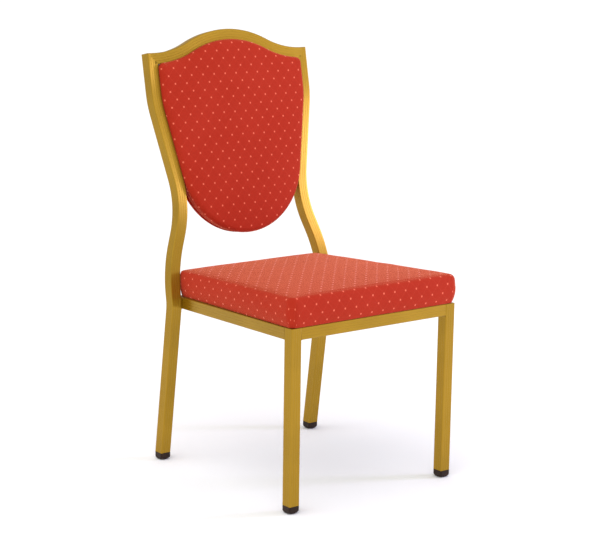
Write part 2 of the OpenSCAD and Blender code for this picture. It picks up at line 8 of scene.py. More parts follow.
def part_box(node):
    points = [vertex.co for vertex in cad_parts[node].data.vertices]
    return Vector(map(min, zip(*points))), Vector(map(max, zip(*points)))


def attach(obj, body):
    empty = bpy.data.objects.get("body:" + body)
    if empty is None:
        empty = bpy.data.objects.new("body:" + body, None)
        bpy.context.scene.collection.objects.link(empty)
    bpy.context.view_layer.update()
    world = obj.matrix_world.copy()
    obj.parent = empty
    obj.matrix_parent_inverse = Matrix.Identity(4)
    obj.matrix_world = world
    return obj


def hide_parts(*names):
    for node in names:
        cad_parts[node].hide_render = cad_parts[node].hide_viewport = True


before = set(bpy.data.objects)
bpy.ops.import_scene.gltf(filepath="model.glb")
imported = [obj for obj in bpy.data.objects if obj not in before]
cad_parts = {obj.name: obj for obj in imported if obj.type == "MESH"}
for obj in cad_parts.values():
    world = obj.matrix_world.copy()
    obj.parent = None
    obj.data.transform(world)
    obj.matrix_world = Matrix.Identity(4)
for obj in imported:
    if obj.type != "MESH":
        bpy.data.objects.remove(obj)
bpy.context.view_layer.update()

# ---- camera: degrees, metres; the lens and sensor in millimetres ----
AZIMUTH = -37.58
PITCH = 12.08
ROLL = 0.59
DISTANCE = 3.768
TARGET_ACROSS = -0.0707
TARGET_BEHIND_FRONT = 0.25
TARGET_HEIGHT = 0.3723
SENSOR = 36.0
LENS = 103.76
SHIFT_X = 0.0524
SHIFT_Y = 0.0459
SIGHT_LIMIT = 200

# ---- light and floor: metres, watts, degrees ----
WORLD_STRENGTH = 0.82
SUN_STRENGTH = 1.12
SUN_ANGLE = 70
SUN_FROM = (-0.58, -0.2, 0.79)
RIGHT_WATTS = 20
RIGHT_COLOUR = (1.0, 0.93, 1.5)
RIGHT_PLACE = (2.3, -1.4, 0.97)
RIGHT_AIM = (-0.2, 0.2, 0.76)
RIGHT_SIZE = (0.5, 0.3)
FRONT_WATTS = 6
FRONT_COLOUR = (1, 1, 1)
FRONT_PLACE = (2.0, -2.3, 1.6)
FRONT_AIM = (0, 0.2, 0.8)
FRONT_SIZE = (1.2, 0.7)
FLOOR_HALF = 90

# ---- cloth pattern, metres ----
DOT_ACROSS = 0.0299
DOT_DOWN = 0.0342
DOT_RADIUS = 0.0021
THREAD_PITCH = 0.0009

# ---- colours ----
GOLD_BRIGHT = (0.41, 0.232, 0.010, 1)
GOLD_DEEP = (0.375, 0.212, 0.008, 1)
GOLD_WELD = (0.41, 0.235, 0.013, 1)
RED_DARK = (0.37, 0.019, 0.007, 1)
RED_LIGHT = (0.48, 0.029, 0.011, 1)
RED_WORN = (0.50, 0.036, 0.017, 1)
RED_LATTICE = (0.74, 0.10, 0.055, 1)
RED_DOT = (0.80, 0.15, 0.085, 1)
SHEEN_GROUND = (1.0, 0.31, 0.15, 1)
SHEEN_DOT = (1.0, 0.72, 0.6, 1)
DUST_CLOTH_DARK = (0.008, 0.008, 0.009, 1)
DUST_CLOTH_LIGHT = (0.035, 0.035, 0.037, 1)
BROWN_DARK = (0.016, 0.006, 0.0025, 1)
BROWN_SCUFFED = (0.04, 0.017, 0.008, 1)
ZINC_DARK = (0.42, 0.42, 0.41, 1)
ZINC_LIGHT = (0.68, 0.68, 0.66, 1)
PLY_DARK = (0.36, 0.22, 0.11, 1)
PLY_LIGHT = (0.60, 0.42, 0.24, 1)

# ---- design sizes: millimetres, degrees ----
TUBE = 25.0
HALF = TUBE / 2
TUBE_ROUND = 1.6
GROOVES = (-5.6, 0.0, 5.6)
GROOVE_HALF = 0.9
GROOVE_DEPTH = 0.35
FRONT_HALF = 222.0
REAR_HALF = 225.0
RAIL_HEIGHT = 388.0
SEAT_FRAME_DEPTH = 417.5
SEAT_TILT = 1.35
FRONT_RAIL_RECESS = 1.0
UPRIGHT_DEPTH = 430.6
LEG_SPLAY = 7.6
RECLINE = 11.0
BEND_TOP = 377.5
BEND_RADIUS = 90.0
INWARD_RADIUS = 323.0
INWARD_ANGLE = 20.8
WAIST_STRAIGHT = 21.8
WAIST_RADIUS = 225.0
FLANK_ANGLE = 11.2
FLANK_STRAIGHT = 146.4
SHOULDER_RADIUS = 231.0
SHOULDER_STRAIGHT = 85.0
TOP_FLAT = 16.4
HOLLOW_RADIUS = 214.0
TOP_STRAIGHT = 4.0
TOP_ANGLE = 25.8
GLIDE_HEIGHT = 16.0
SEAT_REAR_HALF = 192.0
SEAT_OVER_REAR = 19.0
SEAT_CORNER = 13.0
SEAT_EDGE_HEIGHT = 61.0
SEAT_CROWN = 6.0
SEAT_FRONT_RISE = 3.0
SEAT_EDGE_RADIUS = 13.0
SEAT_BULGE = 7.0
SEAT_CORNER_DROP = 1.0
SEAT_TURN_UNDER = 28.0
SEAT_LIFT = 0.5
SEAT_HEM = 2.5
SEAT_HEM_INSET = 0.2
SEAT_REAR_BULGE_LOSS = 0.5
SEAT_RISE_FROM = 20.0
SEAT_RISE_OVER = 40.0
SEAT_CORNER_REACH = 16.0
PAD_BOTTOM_RADIUS = 163.0
PAD_BOTTOM = 124.4
PAD_GAP = 0.4
PAD_PROUD = 13.0
PAD_CROWN = 5.0
PAD_EDGE = 11.5
PAD_BULGE = 2.0
PAD_CORNER = 12.0
PANEL_CROWN = 0.6
PANEL_TURN = 2.0
PANEL_RECESS = 1.0
DUST_CLOTH_INSET = 8.0
DUST_CLOTH_THICK = 0.3
DUST_CLOTH_GAP = 0.15
DUST_CLOTH_SAG = 2.2

# ---- slow unevenness of the cloth, millimetres ----
SEAT_WAVE = 0.5
SEAT_WAVE_LENGTH = 90
SEAT_PUFF = 0.55
SEAT_PUFF_LENGTH = 120
SEAT_PUFF_OVER = 25
PAD_WAVE = 0.35
PAD_WAVE_LENGTH = 110
DUST_CLOTH_WAVE = 0.5
DUST_CLOTH_WAVE_LENGTH = 70
SEAT_WAVE_SEED = 3
DUST_CLOTH_SEED = 5
SEAT_PUFF_SEED = 8
PAD_SEED = 21
PANEL_SEED = 33

UPRIGHT_X = REAR_HALF - HALF
FRONT_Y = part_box("front_leg_left")[0].y * 1000


def sin(angle):
    return math.sin(math.radians(angle))


def cos(angle):
    return math.cos(math.radians(angle))


WAIST_S = (INWARD_RADIUS + WAIST_RADIUS) * sin(INWARD_ANGLE) + WAIST_STRAIGHT * cos(INWARD_ANGLE)
WAIST_X = (
    UPRIGHT_X
    - (INWARD_RADIUS + WAIST_RADIUS) * (1 - cos(INWARD_ANGLE))
    - WAIST_STRAIGHT * sin(INWARD_ANGLE)
)
SHOULDER_S = WAIST_S + WAIST_RADIUS * sin(FLANK_ANGLE) + FLANK_STRAIGHT * cos(FLANK_ANGLE)
SHOULDER_X = WAIST_X + WAIST_RADIUS * (1 - cos(FLANK_ANGLE)) + FLANK_STRAIGHT * sin(FLANK_ANGLE)
TOP_X = SHOULDER_X + SHOULDER_RADIUS * (1 - cos(FLANK_ANGLE))
TOP_S = SHOULDER_S + SHOULDER_RADIUS * sin(FLANK_ANGLE) + SHOULDER_STRAIGHT
HOLLOW_X = TOP_X + HALF - TOP_FLAT
HOLLOW_S = TOP_S + HOLLOW_RADIUS
ARCH_X = HOLLOW_X - HOLLOW_RADIUS * sin(TOP_ANGLE) - TOP_STRAIGHT * cos(TOP_ANGLE)
ARCH_RADIUS = ARCH_X / sin(TOP_ANGLE)
ARCH_S = (
    TOP_S + (HOLLOW_RADIUS + ARCH_RADIUS) * (1 - cos(TOP_ANGLE)) + TOP_STRAIGHT * sin(TOP_ANGLE)
)
CORNER_X = TOP_X - HALF - PAD_CORNER
CORNER_REACH = HOLLOW_RADIUS + TUBE + PAD_CORNER
CORNER_ANGLE = math.degrees(math.asin((HOLLOW_X - CORNER_X) / CORNER_REACH))
CORNER_S = HOLLOW_S - CORNER_REACH * cos(CORNER_ANGLE)
SIDE_TAPER = math.degrees(math.atan((FRONT_HALF - REAR_HALF + TUBE) / (SEAT_FRAME_DEPTH - TUBE)))
CUSHION_REAR = SEAT_FRAME_DEPTH + SEAT_OVER_REAR
SIDE_SLOPE = math.degrees(math.atan((FRONT_HALF - SEAT_REAR_HALF) / CUSHION_REAR))


def tilted(origin, angle):
    """A frame whose Z leans to the rear by angle, with its origin in millimetres."""
    return Matrix.Translation(Vector(origin)) @ Matrix.Rotation(math.radians(-angle), 4, "X")


BACK_PLANE = tilted((0, FRONT_Y + UPRIGHT_DEPTH, BEND_TOP), RECLINE)
SEAT_PLANE = tilted((0, FRONT_Y, RAIL_HEIGHT), SEAT_TILT)


def placed(points, plane):
    """Points in a frame, in millimetres, as row-frame points in metres."""
    m = np.array(plane)
    return (np.asarray(points, float) @ m[:3, :3].T + m[:3, 3]) / 1000


# ---- camera and light ----


def make_camera():
    a, e, r = (math.radians(v) for v in (AZIMUTH, PITCH, ROLL))
    back = Vector((math.sin(a) * math.cos(e), -math.cos(a) * math.cos(e), math.sin(e)))
    level = Vector((math.cos(a), math.sin(a), 0))
    upward = back.cross(level)
    right = level * math.cos(r) + upward * math.sin(r)
    up = upward * math.cos(r) - level * math.sin(r)
    target = Vector((0, FRONT_Y / 1000 + TARGET_BEHIND_FRONT, TARGET_HEIGHT))
    target = target + level * TARGET_ACROSS
    data = bpy.data.cameras.new("camera")
    data.sensor_width = SENSOR
    data.lens = LENS
    data.shift_x = SHIFT_X
    data.shift_y = SHIFT_Y
    data.clip_end = SIGHT_LIMIT
    camera = bpy.data.objects.new("camera", data)
    bpy.context.scene.collection.objects.link(camera)
    turn = Matrix((right, up, back)).transposed().to_4x4()
    camera.matrix_world = Matrix.Translation(target + back * DISTANCE) @ turn
    bpy.context.scene.camera = camera


def area_light(name, place, aim, size, watts, colour):
    data = bpy.data.lights.new(name, "AREA")
    data.shape = "RECTANGLE"
    data.size, data.size_y = size
    data.energy = watts
    data.color = colour
    light = bpy.data.objects.new(name, data)
    light.location = place
    light.rotation_euler = (Vector(aim) - Vector(place)).to_track_quat("-Z", "Y").to_euler()
    bpy.context.scene.collection.objects.link(light)


def make_lights():
    world = bpy.data.worlds.new("world")
    bpy.context.scene.world = world
    world.use_nodes = True
    background = world.node_tree.nodes["Background"]
    background.inputs["Color"].default_value = (1, 1, 1, 1)
    background.inputs["Strength"].default_value = WORLD_STRENGTH
    data = bpy.data.lights.new("sky_panel", "SUN")
    data.energy = SUN_STRENGTH
    data.angle = math.radians(SUN_ANGLE)
    sun = bpy.data.objects.new("sky_panel", data)
    sun.rotation_euler = Vector(SUN_FROM).to_track_quat("Z", "Y").to_euler()
    bpy.context.scene.collection.objects.link(sun)
    area_light("right_panel", RIGHT_PLACE, RIGHT_AIM, RIGHT_SIZE, RIGHT_WATTS, RIGHT_COLOUR)
    area_light("front_panel", FRONT_PLACE, FRONT_AIM, FRONT_SIZE, FRONT_WATTS, FRONT_COLOUR)


def make_floor():
    data = bpy.data.meshes.new("floor")
    far = FLOOR_HALF
    corners = [(-far, -far, 0), (far, -far, 0), (far, far, 0), (-far, far, 0)]
    data.from_pydata(corners, [], [(0, 1, 2, 3)])
    floor = bpy.data.objects.new("floor", data)
    bpy.context.scene.collection.objects.link(floor)
    material = bpy.data.materials.new("pale_floor")
    material.use_nodes = True
    shader = material.node_tree.nodes["Principled BSDF"]
    shader.inputs["Base Color"].default_value = (1, 1, 1, 1)
    shader.inputs["Roughness"].default_value = 0.9
    data.materials.append(material)


# ---- materials ----


class Graph:
    """Short ways to build one node material."""

    def __init__(self, name):
        self.material = bpy.data.materials.new(name)
        self.material.use_nodes = True
        self.tree = self.material.node_tree
        self.shader = self.tree.nodes["Principled BSDF"]

    def node(self, kind, **values):
        made = self.tree.nodes.new(kind)
        for key, value in values.items():
            setattr(made, key, value)
        return made

    def link(self, source, target):
        self.tree.links.new(source, target)

    def put(self, target, value):
        if isinstance(value, bpy.types.NodeSocket):
            self.link(value, target)
        else:
            target.default_value = value

    def math(self, operation, a, b=0.0, c=0.0):
        made = self.node("ShaderNodeMath", operation=operation)
        for socket, value in zip(made.inputs, (a, b, c)):
            self.put(socket, value)
        return made.outputs[0]

    def vector(self, operation, a, b=(0, 0, 0)):
        made = self.node("ShaderNodeVectorMath", operation=operation)
        self.put(made.inputs[0], a)
        self.put(made.inputs[1], b)
        return made.outputs["Value" if operation in ("LENGTH", "DOT_PRODUCT") else "Vector"]

    def noise(self, where, scale, detail, roughness):
        made = self.node("ShaderNodeTexNoise")
        self.put(made.inputs["Vector"], where)
        made.inputs["Scale"].default_value = scale
        made.inputs["Detail"].default_value = detail
        made.inputs["Roughness"].default_value = roughness
        return made.outputs["Fac"]

    def mapped(self, value, low, high, out_low, out_high):
        made = self.node("ShaderNodeMapRange", interpolation_type="SMOOTHSTEP")
        self.put(made.inputs["Value"], value)
        made.inputs["From Min"].default_value = low
        made.inputs["From Max"].default_value = high
        made.inputs["To Min"].default_value = out_low
        made.inputs["To Max"].default_value = out_high
        return made.outputs["Result"]

    def mixed(self, factor, a, b):
        made = self.node("ShaderNodeMix", data_type="RGBA")
        self.put(made.inputs["Factor"], factor)
        self.put(made.inputs[6], a)
        self.put(made.inputs[7], b)
        return made.outputs[2]

    def bump(self, height, distance, strength):
        made = self.node("ShaderNodeBump")
        made.inputs["Strength"].default_value = strength
        made.inputs["Distance"].default_value = distance
        self.put(made.inputs["Height"], height)
        return made.outputs["Normal"]

    def place(self):
        return self.node("ShaderNodeTexCoord").outputs["Object"]

    def set(self, **values):
        for key, value in values.items():
            self.put(self.shader.inputs[key.replace("_", " ")], value)


def gold_material():
    """Gold tube: fine drawing lines along the length and a brushed, stretched highlight."""
    g = Graph("gold_tube")
    uv = g.node("ShaderNodeUVMap", uv_map="UVMap").outputs["UV"]
    along = g.vector("MULTIPLY", uv, (1, 0.012, 1))
    lines = g.noise(along, 2600, 3.0, 0.6)
    patches = g.noise(g.place(), 9, 2.0, 0.5)
    colour = g.mixed(g.mapped(patches, 0.35, 0.65, 0, 1), GOLD_BRIGHT, GOLD_DEEP)
    rough = g.math("MULTIPLY_ADD", lines, 0.14, 0.29)
    tangent = g.node("ShaderNodeTangent", direction_type="UV_MAP", uv_map="UVMap")
    g.set(
        Base_Color=colour,
        Metallic=0.7,
        IOR=1.6,
        Roughness=rough,
        Anisotropic=0.9,
        Normal=g.bump(lines, 0.00004, 0.6),
    )
    g.link(tangent.outputs["Tangent"], g.shader.inputs["Tangent"])
    return g.material


def plain_gold_material():
    """The same finish on welds and plates, without the drawing lines."""
    g = Graph("gold_weld")
    grain = g.noise(g.place(), 900, 3.0, 0.6)
    g.set(
        Base_Color=GOLD_WELD,
        Metallic=0.7,
        IOR=1.6,
        Roughness=g.math("MULTIPLY_ADD", grain, 0.15, 0.32),
        Normal=g.bump(grain, 0.00012, 0.5),
    )
    return g.material


def dot_mask(g, uv, across, down, radius):
    """Staggered woven dots: 1 inside a dot, 0 between them."""
    cells = g.vector("MULTIPLY", uv, (1 / across, 1 / down, 0))
    nearest = []
    for shift in ((0.5, 0.5, 0), (0, 0, 0)):
        part = g.vector("FRACTION", g.vector("ADD", cells, shift))
        part = g.vector("SUBTRACT", part, (0.5, 0.5, 0))
        part = g.vector("MULTIPLY", part, (across, down, 0))
        nearest.append(g.vector("LENGTH", part))
    return g.mapped(g.math("MINIMUM", *nearest), radius * 0.75, radius * 1.2, 1, 0)


def lattice_mask(g, uv):
    """Faint slanting threads that join the dots both ways."""
    found = []
    for side in (1, -1):
        lean = g.vector("DOT_PRODUCT", uv, (1 / DOT_ACROSS, side / DOT_DOWN, 0))
        part = g.math("FRACT", lean)
        away = g.math("ABSOLUTE", g.math("SUBTRACT", part, 0.5))
        found.append(g.math("SUBTRACT", 0.5, away))
    return g.mapped(g.math("MINIMUM", *found), 0.012, 0.03, 0.12, 0)


def cloth_material(name):
    """Red jacquard: crossed threads, fine slubs and small light dots."""
    g = Graph(name)
    uv = g.node("ShaderNodeUVMap", uv_map="UVMap").outputs["UV"]
    thread = 2 * math.pi / THREAD_PITCH
    split = g.node("ShaderNodeSeparateXYZ")
    g.link(uv, split.inputs[0])
    warp = g.math("SINE", g.math("MULTIPLY", split.outputs[0], thread))
    weft = g.math("SINE", g.math("MULTIPLY", split.outputs[1], thread))
    weave = g.math("MULTIPLY", warp, weft)
    slub = g.noise(g.vector("MULTIPLY", uv, (1, 0.25, 1)), 900, 2.0, 0.6)
    shade = g.noise(g.place(), 11, 3.0, 0.55)
    ground = g.mixed(slub, RED_DARK, RED_LIGHT)
    ground = g.mixed(g.mapped(shade, 0.3, 0.7, 0, 0.22), ground, RED_WORN)
    height = g.math("MULTIPLY_ADD", weave, 0.35, slub)
    dots = dot_mask(g, uv, DOT_ACROSS, DOT_DOWN, DOT_RADIUS)
    ground = g.mixed(lattice_mask(g, uv), ground, RED_LATTICE)
    ground = g.mixed(dots, ground, RED_DOT)
    height = g.math("ADD", height, g.math("MULTIPLY", dots, 0.8))
    g.set(
        Base_Color=ground,
        Roughness=0.78,
        Sheen_Weight=1.0,
        Sheen_Roughness=0.32,
        Sheen_Tint=g.mixed(dots, SHEEN_GROUND, SHEEN_DOT),
        Specular_IOR_Level=0.1,
        Normal=g.bump(height, 0.00022, 0.7),
    )
    return g.material


def dust_cloth_material():
    """Black non-woven cloth with short pressed fibres."""
    g = Graph("dust_cloth")
    fibres = g.noise(g.vector("MULTIPLY", g.place(), (1, 6, 1)), 260, 4.0, 0.7)
    colour = g.mixed(fibres, DUST_CLOTH_DARK, DUST_CLOTH_LIGHT)
    g.set(Base_Color=colour, Roughness=0.92, Normal=g.bump(fibres, 0.0002, 0.6))
    return g.material


def plastic_material():
    """Dark brown moulded plastic with a fine matte grain and scuffed low spots."""
    g = Graph("brown_plastic")
    grain = g.noise(g.place(), 1400, 2.0, 0.5)
    scuff = g.noise(g.place(), 60, 4.0, 0.65)
    colour = g.mixed(g.mapped(scuff, 0.45, 0.75, 0, 1), BROWN_DARK, BROWN_SCUFFED)
    g.set(
        Base_Color=colour,
        Specular_IOR_Level=0.22,
        Roughness=g.math("MULTIPLY_ADD", scuff, 0.25, 0.3),
        Normal=g.bump(grain, 0.0001, 0.5),
    )
    return g.material


def steel_material():
    """Zinc-plated steel with a faint spangle."""
    g = Graph("zinc_steel")
    spangle = g.noise(g.place(), 420, 3.0, 0.6)
    colour = g.mixed(spangle, ZINC_DARK, ZINC_LIGHT)
    g.set(Base_Color=colour, Metallic=1.0, Roughness=g.math("MULTIPLY_ADD", spangle, 0.2, 0.25))
    return g.material


def plywood_material():
    """Raw plywood: stretched grain lines."""
    g = Graph("plywood")
    grain = g.noise(g.vector("MULTIPLY", g.place(), (12, 0.6, 12)), 30, 4.0, 0.6)
    colour = g.mixed(grain, PLY_DARK, PLY_LIGHT)
    g.set(Base_Color=colour, Roughness=0.8, Normal=g.bump(grain, 0.0002, 0.4))
    return g.material


# ---- mesh helpers ----


def build(name, points, faces, uvs, material, sharp=None):
    """A mesh object riding on the chair, from metre points and one UV pair per point."""
    data = bpy.data.meshes.new(name)
    data.from_pydata([tuple(p) for p in points], [], faces)
    layer = data.uv_layers.new(name="UVMap")
    corners = np.zeros(len(data.loops), np.int32)
    data.loops.foreach_get("vertex_index", corners)
    layer.data.foreach_set("uv", np.asarray(uvs, np.float32)[corners].ravel())
    data.shade_smooth()
    if sharp is not None:
        data.set_sharp_from_angle(angle=math.radians(sharp))
    data.materials.append(material)
    data.update()
    made = bpy.data.objects.new(name, data)
    bpy.context.scene.collection.objects.link(made)
    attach(made, "root")
    return made


def mirror_x(points, faces):
    flipped = np.array(points)
    flipped[:, 0] *= -1
    return flipped, [tuple(reversed(f)) for f in faces]


def tube_profile():
    """The square tube's outline: rounded corners and fine drawn grooves on each face."""
    flat = HALF - TUBE_ROUND
    face = [(HALF, -flat)]
    for g in GROOVES:
        face += [
            (HALF, g - GROOVE_HALF),
            (HALF - GROOVE_DEPTH, g - GROOVE_HALF * 0.4),
            (HALF - GROOVE_DEPTH, g + GROOVE_HALF * 0.4),
            (HALF, g + GROOVE_HALF),
        ]
    turns = [90 * i / 5 for i in range(5)]
    face += [(flat + TUBE_ROUND * cos(t), flat + TUBE_ROUND * sin(t)) for t in turns]
    points = []
    for quarter in range(4):
        c, s = cos(90 * quarter), sin(90 * quarter)
        points += [(x * c - y * s, x * s + y * c) for x, y in face]
    return np.array(points)


def sweep(stations):
    """Rings of the tube profile along stations of (point, across, depth, along, cut normal)."""
    profile = tube_profile()
    n = len(profile)
    girth = np.linalg.norm(np.roll(profile, -1, 0) - profile, axis=1)
    around = np.concatenate([[0], np.cumsum(girth)])[:n] / 1000
    points, uvs, run, before = [], [], 0.0, None
    for point, across, depth, along, cut in stations:
        point, across, depth, along = (np.array(v, float) for v in (point, across, depth, along))
        if before is not None:
            run += np.linalg.norm(point - before) / 1000
        before = point
        ring = profile[:, :1] * across + profile[:, 1:] * depth
        if cut is not None:
            cut = np.array(cut, float)
            ring = ring - along * ((ring @ cut) / (along @ cut))[:, None]
        points.append(point + ring)
        uvs.append(np.stack([around, np.full(n, run)], 1))
    faces = []
    for r in range(len(stations) - 1):
        a, b = r * n, (r + 1) * n
        faces += [(a + i, a + (i + 1) % n, b + (i + 1) % n, b + i) for i in range(n)]
    faces.append(tuple(range(n - 1, -1, -1)))
    last = (len(stations) - 1) * n
    faces.append(tuple(range(last, last + n)))
    return np.concatenate(points), faces, np.concatenate(uvs)


def steps(start, end, size=2.0):
    """Even steps from start to end, both included, none longer than size."""
    count = max(2, math.ceil(abs(end - start) / size))
    return [start + (end - start) * i / count for i in range(count + 1)]


def back_station(x, s, angle, cut=None):
    """A station in the plane of the back; angle is the turn of its outward side."""
    return (x, 0, s), (cos(angle), 0, sin(angle)), (0, 1, 0), (-sin(angle), 0, cos(angle)), cut


def leg_station(y, s, turn, cut=None):
    """A station of the leg below the bend; turn is its angle to the plane of the back."""
    return (UPRIGHT_X, y, s), (1, 0, 0), (0, cos(turn), sin(turn)), (0, -sin(turn), cos(turn)), cut


def upright_stations():
    bend = RECLINE + LEG_SPLAY
    end_y, end_s = BEND_RADIUS * (1 - cos(bend)), -BEND_RADIUS * sin(bend)
    down = np.array((0, -sin(RECLINE), cos(RECLINE)))
    height = (BACK_PLANE @ Vector((0, end_y, end_s))).z - GLIDE_HEIGHT
    length = height / cos(LEG_SPLAY)
    foot = leg_station(end_y + length * sin(bend), end_s - length * cos(bend), bend, down)
    found = [foot]
    found += [
        leg_station(BEND_RADIUS * (1 - cos(t)), -BEND_RADIUS * sin(t), t) for t in steps(bend, 0)
    ]
    found += [
        back_station(UPRIGHT_X - INWARD_RADIUS * (1 - cos(t)), INWARD_RADIUS * sin(t), t)
        for t in steps(0, INWARD_ANGLE)[1:]
    ]
    centre = WAIST_X + WAIST_RADIUS
    found += [
        back_station(centre - WAIST_RADIUS * cos(t), WAIST_S - WAIST_RADIUS * sin(t), t)
        for t in steps(INWARD_ANGLE, -FLANK_ANGLE)
    ]
    centre = (TOP_X - SHOULDER_RADIUS, TOP_S - SHOULDER_STRAIGHT)
    found += [
        back_station(centre[0] + SHOULDER_RADIUS * cos(t), centre[1] + SHOULDER_RADIUS * sin(t), t)
        for t in steps(-FLANK_ANGLE, 0)
    ]
    found.append(back_station(TOP_X, TOP_S - HALF, 0, (-1, 0, 1)))
    return found


def rail_stations():
    right = [back_station(TOP_X, TOP_S - HALF, 90, (-1, 0, 1))]
    hollow = HOLLOW_RADIUS + HALF
    right += [
        back_station(HOLLOW_X + hollow * cos(t - 180), HOLLOW_S + hollow * sin(t - 180), t)
        for t in steps(90, 90 - TOP_ANGLE)
    ]
    arch = ARCH_RADIUS - HALF
    middle = [
        back_station(arch * cos(t), ARCH_S - ARCH_RADIUS + arch * sin(t), t)
        for t in steps(90 - TOP_ANGLE, 90 + TOP_ANGLE)
    ]
    left = [
        back_station(-HOLLOW_X + hollow * cos(t - 180), HOLLOW_S + hollow * sin(t - 180), t)
        for t in steps(90 + TOP_ANGLE, 90)
    ]
    left.append(back_station(-TOP_X, TOP_S - HALF, 90, (1, 0, 1)))
    return right + middle + left


def straight(start, end, across, depth, cut_start=None, cut_end=None):
    along = np.array(end, float) - np.array(start, float)
    along = along / np.linalg.norm(along)
    return [(start, across, depth, along, cut_start), (end, across, depth, along, cut_end)]


def add_tube(name, stations, plane, material, mirrored=False):
    points, faces, uvs = sweep(stations)
    points = placed(points, plane)
    if mirrored:
        points, faces = mirror_x(points, faces)
    made = build(name + "_tube", points, faces, uvs, material, sharp=24)
    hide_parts(name)
    return made


def make_frame(gold):
    """Every tube of the frame, swept again with rounded and grooved faces."""
    up, right, rear = (0, 0, 1), (1, 0, 0), (0, 1, 0)
    level = Matrix.Identity(4)
    leg_x, leg_y = FRONT_HALF - HALF, FRONT_Y + HALF
    slope = (0, sin(SEAT_TILT), cos(SEAT_TILT))
    top = RAIL_HEIGHT - HALF * sin(SEAT_TILT) / cos(SEAT_TILT)
    foot, head = (leg_x, leg_y, GLIDE_HEIGHT), (leg_x, leg_y, top)
    leg = straight(foot, head, right, rear, cut_end=slope)
    add_tube("front_leg_right", leg, level, gold)
    add_tube("front_leg_left", leg, level, gold, mirrored=True)
    upright = upright_stations()
    add_tube("rear_upright_right", upright, BACK_PLANE, gold)
    add_tube("rear_upright_left", upright, BACK_PLANE, gold, mirrored=True)
    add_tube("top_rail", rail_stations(), BACK_PLANE, gold)
    for name, half, y in (
        ("front_rail", FRONT_HALF - TUBE, HALF + FRONT_RAIL_RECESS),
        ("rear_rail", REAR_HALF - TUBE, SEAT_FRAME_DEPTH + HALF),
    ):
        rail = straight((half, y, -HALF), (-half, y, -HALF), up, rear)
        add_tube(name, rail, SEAT_PLANE, gold)
    across = np.array((cos(SIDE_TAPER), sin(SIDE_TAPER), 0))
    along = np.array((-sin(SIDE_TAPER), cos(SIDE_TAPER), 0))
    start = np.array((FRONT_HALF, TUBE, -HALF)) - across * HALF
    end = start + along * (SEAT_FRAME_DEPTH - start[1]) / along[1]
    start = start + along * (TUBE - start[1]) / along[1]
    rail = straight(start, end, up, across, rear, rear)
    add_tube("side_rail_right", rail, SEAT_PLANE, gold)
    add_tube("side_rail_left", rail, SEAT_PLANE, gold, mirrored=True)


# ---- soft pieces ----


def loft(name, rings, uvs, first, last, ends, material):
    """A closed form through rings of equal length, with a middle point at each end."""
    n, top = len(rings[0]), len(rings) - 1
    points = np.concatenate([*rings, [first], [last]])
    flat_uvs = np.concatenate([*uvs, [ends[0]], [ends[1]]])
    tip = n * len(rings)
    faces = [(tip, (i + 1) % n, i) for i in range(n)]
    for r in range(top):
        a, b = r * n, (r + 1) * n
        faces += [(a + i, a + (i + 1) % n, b + (i + 1) % n, b + i) for i in range(n)]
    faces += [(tip + 1, top * n + i, top * n + (i + 1) % n) for i in range(n)]
    return build(name, points, faces, flat_uvs, material)


def seat_outline():
    """Core points and outward directions: the cushion's edge is core + direction x reach."""
    core_x = [
        (FRONT_HALF * cos(SIDE_SLOPE) - SEAT_CORNER - sin(SIDE_SLOPE) * y) / cos(SIDE_SLOPE)
        for y in (SEAT_CORNER, CUSHION_REAR - SEAT_CORNER)
    ]
    corners = [
        ((core_x[0], SEAT_CORNER), -90, SIDE_SLOPE),
        ((core_x[1], CUSHION_REAR - SEAT_CORNER), SIDE_SLOPE, 90),
        ((-core_x[1], CUSHION_REAR - SEAT_CORNER), 90, 180 - SIDE_SLOPE),
        ((-core_x[0], SEAT_CORNER), 180 - SIDE_SLOPE, 270),
    ]
    cores, ways = [], []
    points_per_side = 72
    for k, (centre, start, end) in enumerate(corners):
        for t in steps(start, end, 7):
            cores.append(centre)
            ways.append((cos(t), sin(t)))
        after = np.array(corners[(k + 1) % 4][0])
        for i in range(1, points_per_side):
            core = np.array(centre) + (after - np.array(centre)) * i / points_per_side
            cores.append(tuple(core))
            ways.append((cos(end), sin(end)))
    return np.array(cores), np.array(ways)


def corner_drop(points):
    """How far the cushion sinks: nothing in the middle and along the edges, most at the corners."""
    half_x = FRONT_HALF - SEAT_CORNER_REACH
    half_y = CUSHION_REAR / 2 - SEAT_CORNER_REACH
    x = np.clip(np.abs(points[:, 0]) / half_x, 0, 1)
    y = np.clip(np.abs(points[:, 1] - CUSHION_REAR / 2) / half_y, 0, 1)
    return SEAT_CORNER_DROP * (x * y) ** 7


def waves(points, seed, size):
    """Slow seeded unevenness between -1 and 1."""
    random = np.random.default_rng(seed)
    total = np.zeros(len(points))
    for _ in range(6):
        way = random.normal(size=points.shape[1])
        way = way / np.linalg.norm(way) * 2 * math.pi / (size * random.uniform(0.7, 1.5))
        total += np.sin(points @ way + random.uniform(0, 2 * math.pi))
    return total / 6


